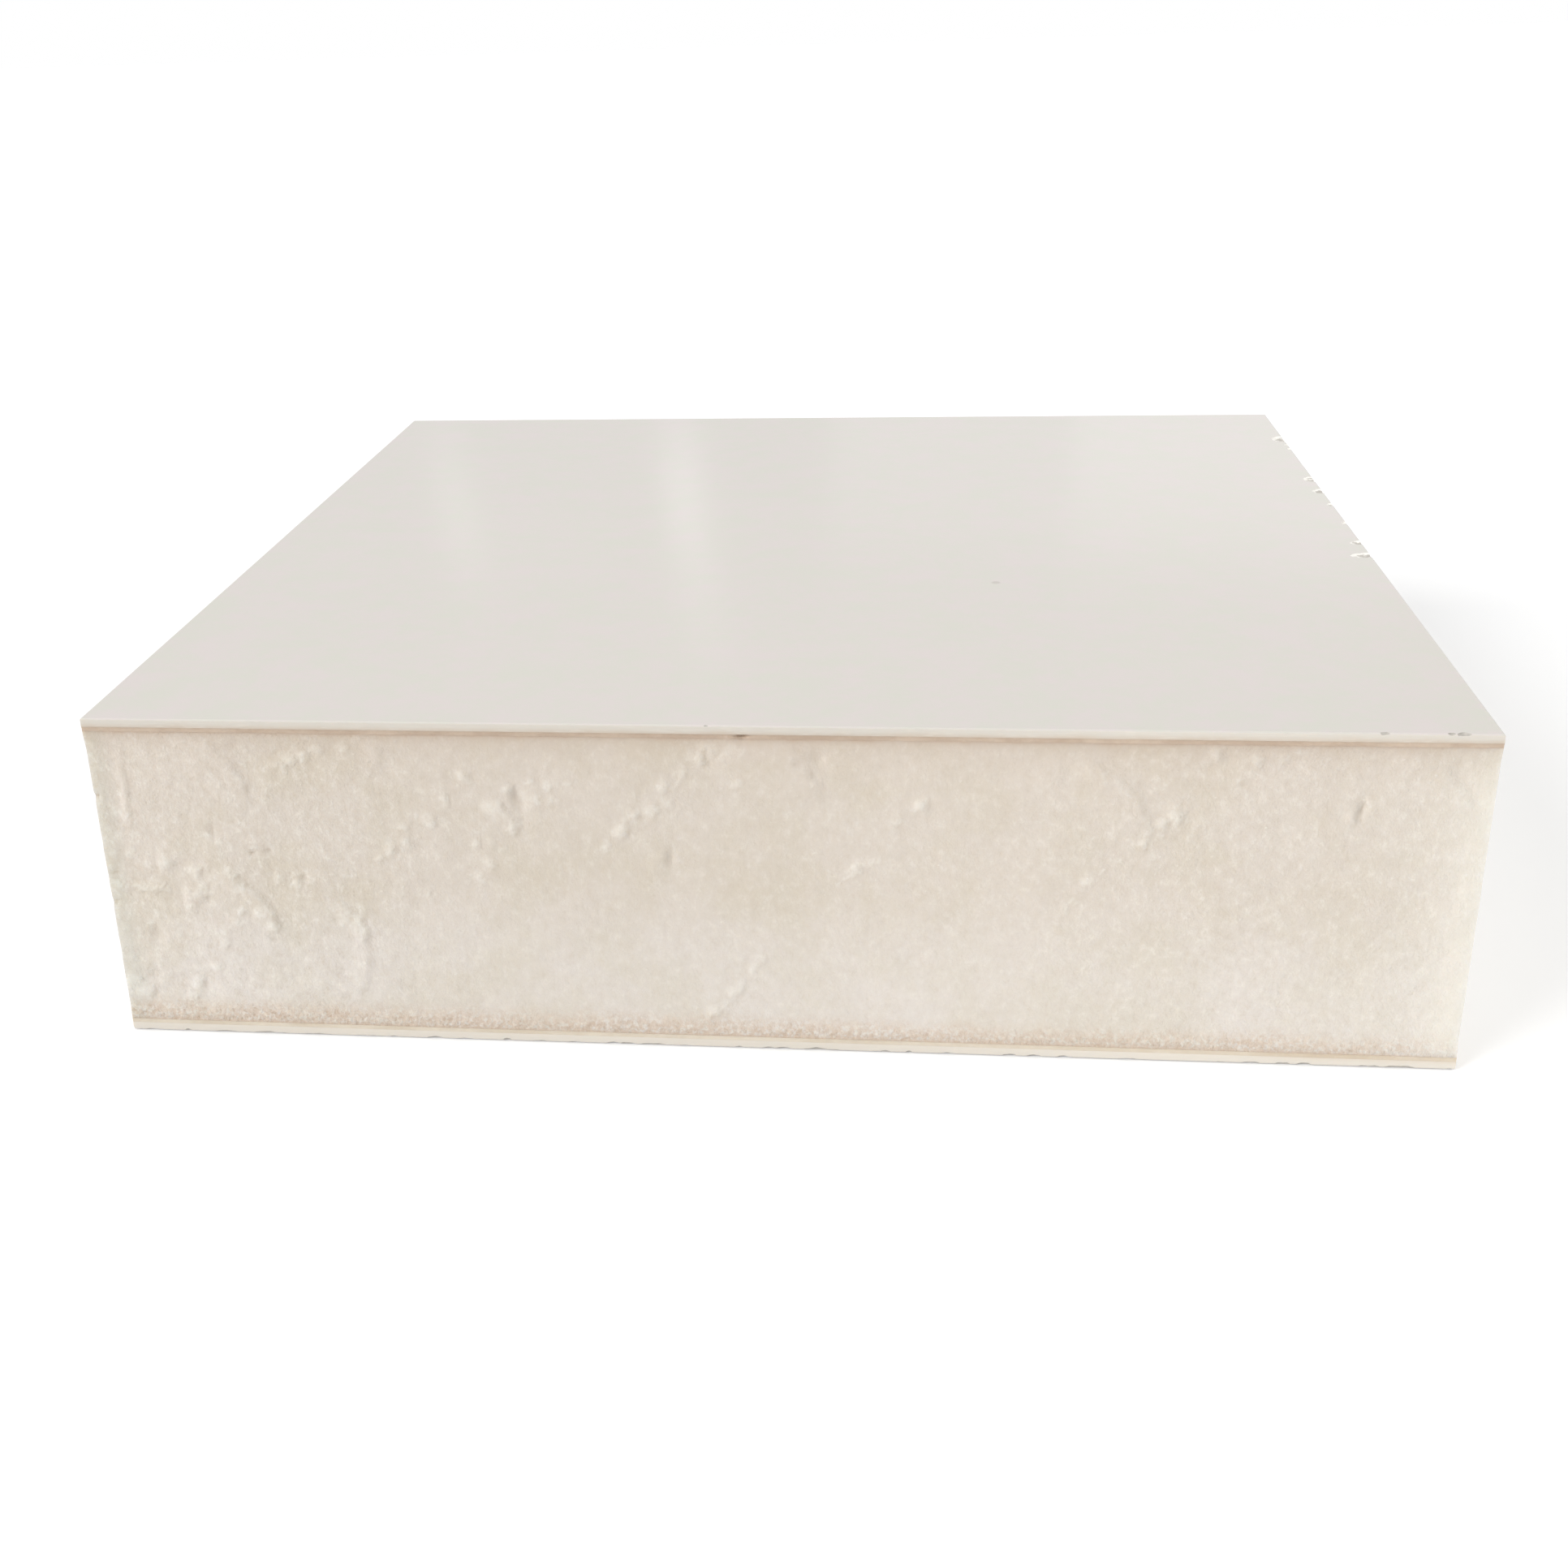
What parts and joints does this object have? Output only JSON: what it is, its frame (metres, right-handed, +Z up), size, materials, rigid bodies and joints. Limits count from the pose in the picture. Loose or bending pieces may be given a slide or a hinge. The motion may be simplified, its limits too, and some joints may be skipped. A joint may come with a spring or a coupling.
{
  "type": "insulated sandwich panel",
  "caption": "Flat insulated sandwich panel sample: glossy off-white laminate skins glued to a sawn rigid foam core.",
  "frame": {"origin": "middle of the bottom face, which is the inner skin's outer face", "axes": "+X along the 305 mm length, +Y across the 300 mm width, +Z up through the layers to the outer skin"},
  "size_m": [0.305, 0.3, 0.08],
  "materials": {
    "inner_gelcoat_laminate": "satin",
    "inner_adhesive": "satin",
    "rigid_foam": "matte",
    "outer_adhesive": "satin",
    "outer_gelcoat_laminate": "gloss"
  },
  "bodies": {
    "root": {"inner_skin": "inner_gelcoat_laminate", "inner_bond": "inner_adhesive", "foam_core": "rigid_foam", "outer_bond": "outer_adhesive", "outer_skin": "outer_gelcoat_laminate"}
  },
  "joints": []
}
